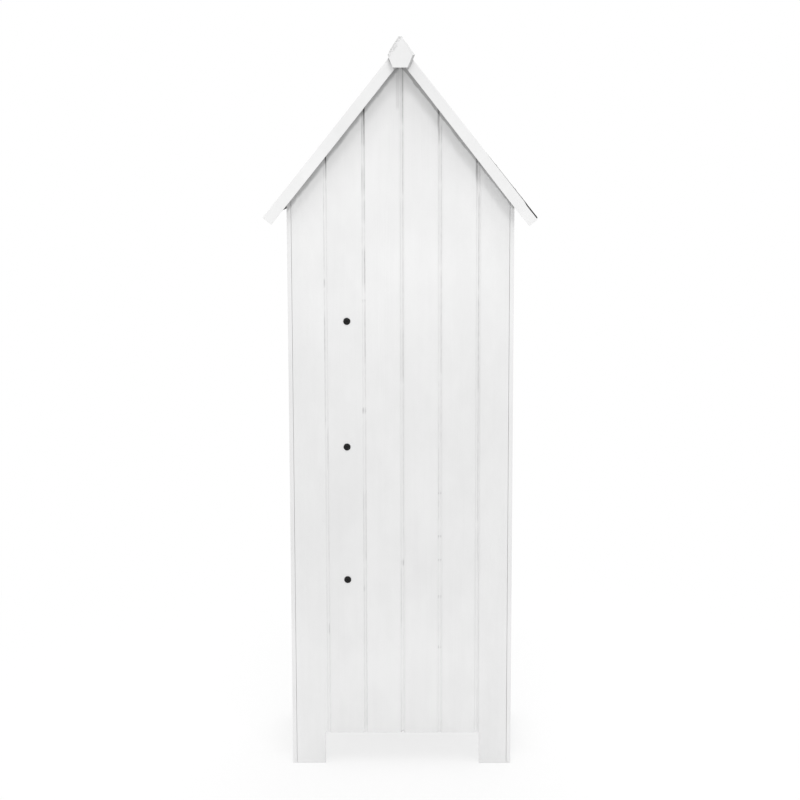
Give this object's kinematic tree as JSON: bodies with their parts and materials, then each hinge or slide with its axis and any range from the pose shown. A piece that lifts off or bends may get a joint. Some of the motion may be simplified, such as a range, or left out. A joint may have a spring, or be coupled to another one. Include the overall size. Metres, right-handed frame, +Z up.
{
  "type": "garden storage cabinet",
  "caption": "Free-standing white wooden garden cabinet like a beach hut: steep gable roof with bargeboards and kite finials, tongue and groove walls, hinged front door, shelves and a tall bay.",
  "frame": {"origin": "on the ground under the middle of the cabinet: the centre of the bottom of its bounding box", "axes": "+Z up, the door faces -Y, the rear wall that the picture shows faces +Y, and the shelves are at +X"},
  "size_m": [0.653, 0.57, 1.795],
  "materials": {
    "white_painted_wood": "satin white paint, brushed",
    "white_painted_inner_wood": "satin white paint, thin",
    "roofing_felt": "mineral grit, matte",
    "black_coated_metal": "satin black",
    "zinc_plated_steel": "zinc plated"
  },
  "bodies": {
    "cabinet": {"divider_boards": "white_painted_inner_wood", "floor_bearers": "white_painted_inner_wood", "floor_boards": "white_painted_inner_wood", "front_bargeboard_left": "white_painted_wood", "front_bargeboard_right": "white_painted_wood", "front_finial": "white_painted_wood", "front_gable_boards": "white_painted_wood", "front_header_batten": "white_painted_wood", "front_left_post": "white_painted_wood", "front_left_stile": "white_painted_wood", "front_rake_battens": "white_painted_wood", "front_right_post": "white_painted_wood", "front_right_stile": "white_painted_wood", "front_sill_batten": "white_painted_wood", "front_sill_board": "white_painted_wood", "hinge_frame_leaves": "black_coated_metal", "hinge_frame_screws": "black_coated_metal", "hinge_pins": "black_coated_metal", "left_side_boards": "white_painted_wood", "rear_bargeboard_left": "white_painted_wood", "rear_bargeboard_right": "white_painted_wood", "rear_batten_lower": "white_painted_wood", "rear_batten_upper": "white_painted_wood", "rear_board_1": "white_painted_wood", "rear_board_2": "white_painted_wood", "rear_board_3": "white_painted_wood", "rear_board_4": "white_painted_wood", "rear_board_5": "white_painted_wood", "rear_board_6": "white_painted_wood", "rear_finial": "white_painted_wood", "rear_left_post": "white_painted_wood", "rear_rake_battens": "white_painted_wood", "rear_right_post": "white_painted_wood", "right_side_boards": "white_painted_wood", "roof_boards_left": "white_painted_wood", "roof_boards_right": "white_painted_wood", "roof_felt": "roofing_felt", "shelf_bolt_nuts": "zinc_plated_steel", "shelf_bolts": "black_coated_metal", "shelf_lower": "white_painted_inner_wood", "shelf_middle": "white_painted_inner_wood", "shelf_rails": "white_painted_inner_wood", "shelf_rear_cleats": "white_painted_inner_wood", "shelf_upper": "white_painted_inner_wood", "turn_button_screw": "black_coated_metal", "wall_plates": "white_painted_wood"},
    "door": {"door_board_1": "white_painted_wood", "door_board_2": "white_painted_wood", "door_board_3": "white_painted_wood", "door_board_4": "white_painted_wood", "door_board_5": "white_painted_wood", "door_knob": "black_coated_metal", "door_ledge_lower": "white_painted_wood", "door_ledge_middle": "white_painted_wood", "door_ledge_screws": "zinc_plated_steel", "door_ledge_upper": "white_painted_wood", "hinge_door_leaves": "black_coated_metal", "hinge_door_screws": "black_coated_metal"},
    "turn_button": {"turn_button": "black_coated_metal"}
  },
  "joints": [
    {"name": "door_hinge", "type": "hinge", "parent": "cabinet", "child": "door", "pos_m": [-0.213, -0.2335, 0.7335], "axis": [0, 0, -1], "range_deg": [0, 170]},
    {"name": "turn_button_pivot", "type": "hinge", "parent": "cabinet", "child": "turn_button", "pos_m": [0.2325, -0.233, 0.79], "axis": [0, 1, 0], "continuous": true}
  ]
}
